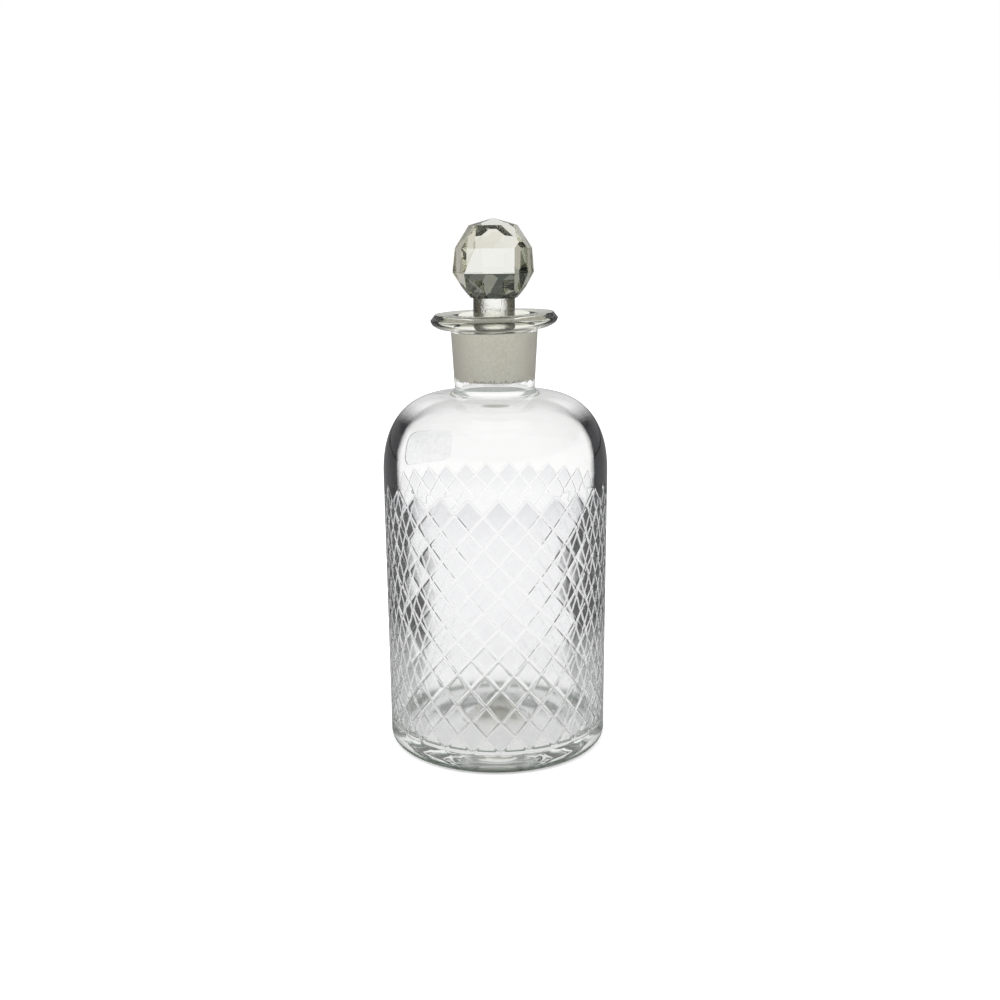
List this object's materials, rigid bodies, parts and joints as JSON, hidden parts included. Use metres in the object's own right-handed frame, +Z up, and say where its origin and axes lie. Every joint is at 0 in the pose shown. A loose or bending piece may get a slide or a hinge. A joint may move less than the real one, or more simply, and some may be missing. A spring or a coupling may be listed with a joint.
{
  "type": "cut glass carafe",
  "caption": "Cylindrical cut glass carafe with a diamond lattice, rounded shoulder and flared lip, closed by a ground-in glass stopper with a faceted ball.",
  "frame": {"origin": "centre of the foot ring, on the surface that the carafe stands on", "axes": "+Z up along the bottle's axis, -Y towards the viewer, +X to the viewer's right"},
  "size_m": [0.1066, 0.1068, 0.2506],
  "materials": {
    "clear_glass": "clear polished glass with bright wheel-cut grooves and a frosted ground seat in the neck",
    "stopper_glass": "faintly olive cut glass, polished facets, rough shank and a frosted ground plug",
    "clear_film": "thin clear film with a satin sheen, left blank"
  },
  "bodies": {
    "vessel": {"bottle": "clear_glass", "blank_label": "clear_film"},
    "stopper": {"stopper": "stopper_glass"}
  },
  "joints": [
    {"name": "stopper_lift", "type": "slide", "parent": "vessel", "child": "stopper", "axis": [0, 0, 1], "range_m": [0, 0.05]}
  ]
}
